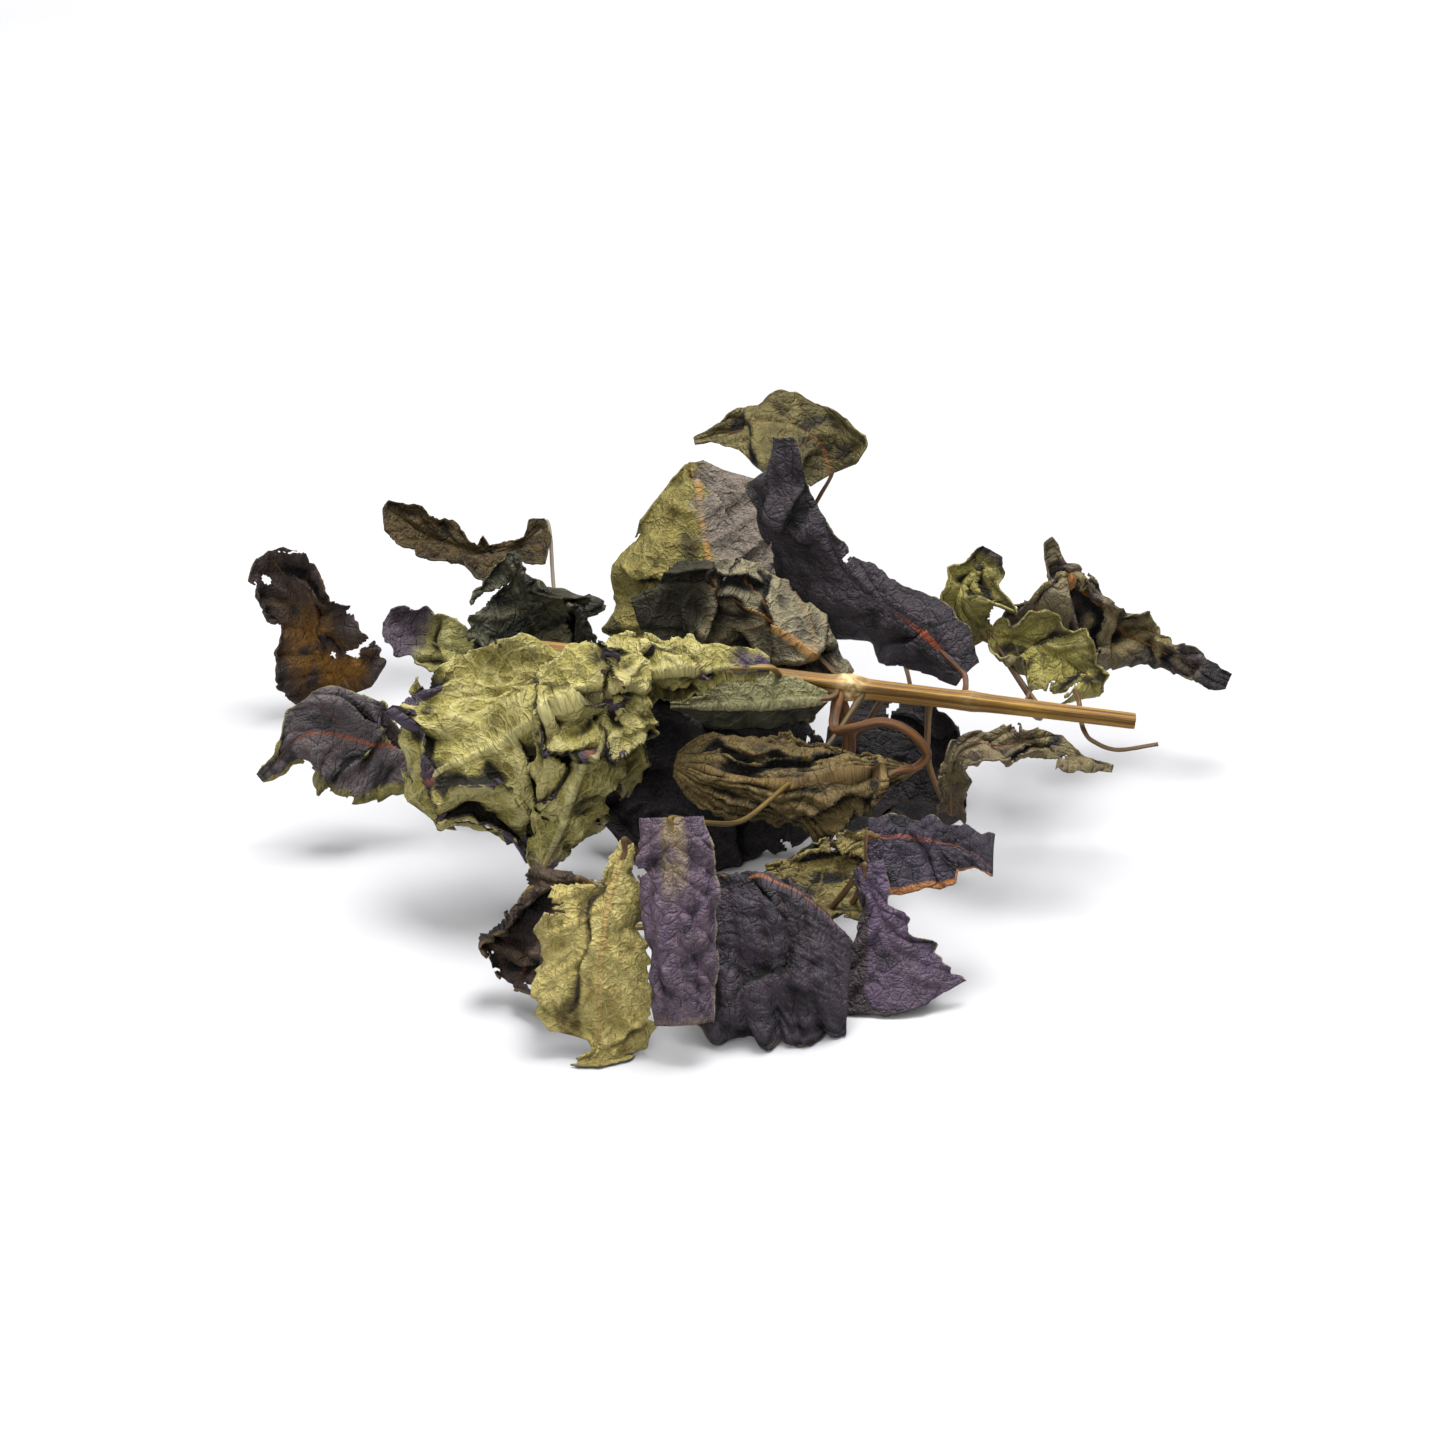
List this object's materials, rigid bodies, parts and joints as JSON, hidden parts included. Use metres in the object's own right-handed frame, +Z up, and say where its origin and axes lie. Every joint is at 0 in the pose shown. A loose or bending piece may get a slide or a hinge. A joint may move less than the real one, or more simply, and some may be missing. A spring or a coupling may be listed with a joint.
{
  "type": "dried perilla sprig",
  "caption": "Dried perilla sprig lying on a surface: a straight four-edged stem with a thin side shoot and curled, crumpled green and purple leaves on their stalks.",
  "frame": {"origin": "middle of the sprig's footprint, on the surface that it lies on", "axes": "+X along the stem towards its cut end, +Y to the back of the heap, +Z up"},
  "size_m": [0.1222, 0.0958, 0.0452],
  "materials": {
    "stem": "dry straw-brown stem, matt, finely ribbed along its length",
    "leaf_green": "dry papery leaf, matt, pale green underside with veins",
    "leaf_olive": "dry papery leaf, matt, pale olive",
    "leaf_grey": "dry papery leaf, matt, mottled grey-green with orange-brown veins",
    "leaf_dark_green": "dry papery leaf, matt, very dark green",
    "leaf_purple": "dry papery leaf, matt, dull purple with darker creases",
    "leaf_dark": "dry papery leaf, matt, blackish purple with an orange-brown midrib",
    "leaf_brown": "dry papery leaf, matt, brown and pleated"
  },
  "bodies": {
    "root": {"stem": "stem", "leaf_green_large": "leaf_green", "leaf_green_strap": "leaf_green", "leaf_folded": "leaf_grey", "leaf_brown_pleated": "leaf_brown", "leaf_olive_front": "leaf_olive", "leaf_purple_strip": "leaf_purple", "leaf_purple_ribbed": "leaf_dark", "leaf_purple_toothed": "leaf_purple", "leaf_purple_flag": "leaf_purple", "leaf_dark_left": "leaf_dark", "leaf_dark_green": "leaf_dark_green", "leaf_grey_back": "leaf_grey", "leaf_grey_fold": "leaf_grey", "leaf_dark_tall": "leaf_dark", "leaf_dark_low": "leaf_dark", "leaf_dark_under": "leaf_dark", "leaf_brown_twisted": "leaf_brown", "leaf_green_rolled": "leaf_dark_green", "leaf_brown_curled": "leaf_brown", "leaf_olive_back": "leaf_olive", "leaf_green_upright": "leaf_green", "leaf_grey_right": "leaf_grey", "leaf_green_cupped": "leaf_olive", "leaf_dark_corner": "leaf_dark", "leaf_green_small": "leaf_olive", "leaf_brown_far": "leaf_brown"}
  },
  "joints": []
}
